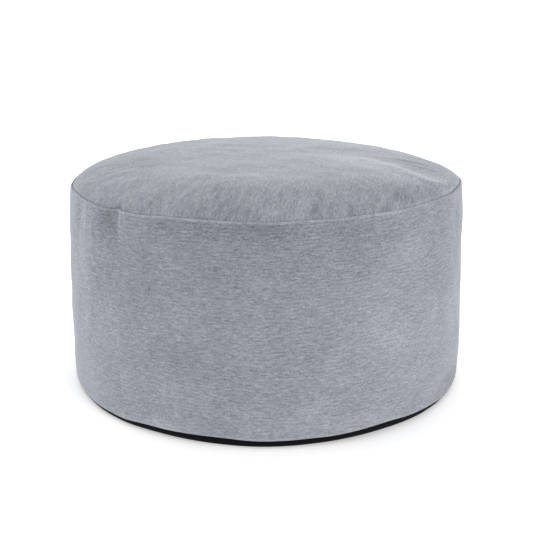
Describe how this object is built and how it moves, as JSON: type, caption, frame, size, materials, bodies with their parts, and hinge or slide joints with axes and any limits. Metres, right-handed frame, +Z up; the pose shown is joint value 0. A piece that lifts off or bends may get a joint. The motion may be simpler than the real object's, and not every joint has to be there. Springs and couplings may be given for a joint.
{
  "type": "pouf",
  "caption": "Round drum-shaped filled pouf in grey woven cloth, with a softly crowned top, one upright band seam and a black cloth base.",
  "frame": {"origin": "centre of the pouf's underside, on the surface that it stands on", "axes": "+Z up, along the drum's axis; -Y is the side that the picture shows in front"},
  "size_m": [0.6016, 0.5999, 0.34],
  "materials": {
    "grey_chenille": "mid-grey heathered chenille weave, matt with a soft sheen at glancing angles",
    "black_base_cloth": "near-black plain-woven base cloth, matt"
  },
  "bodies": {
    "root": {"top_panel": "grey_chenille", "side_band": "grey_chenille", "base_panel": "black_base_cloth"}
  },
  "joints": []
}
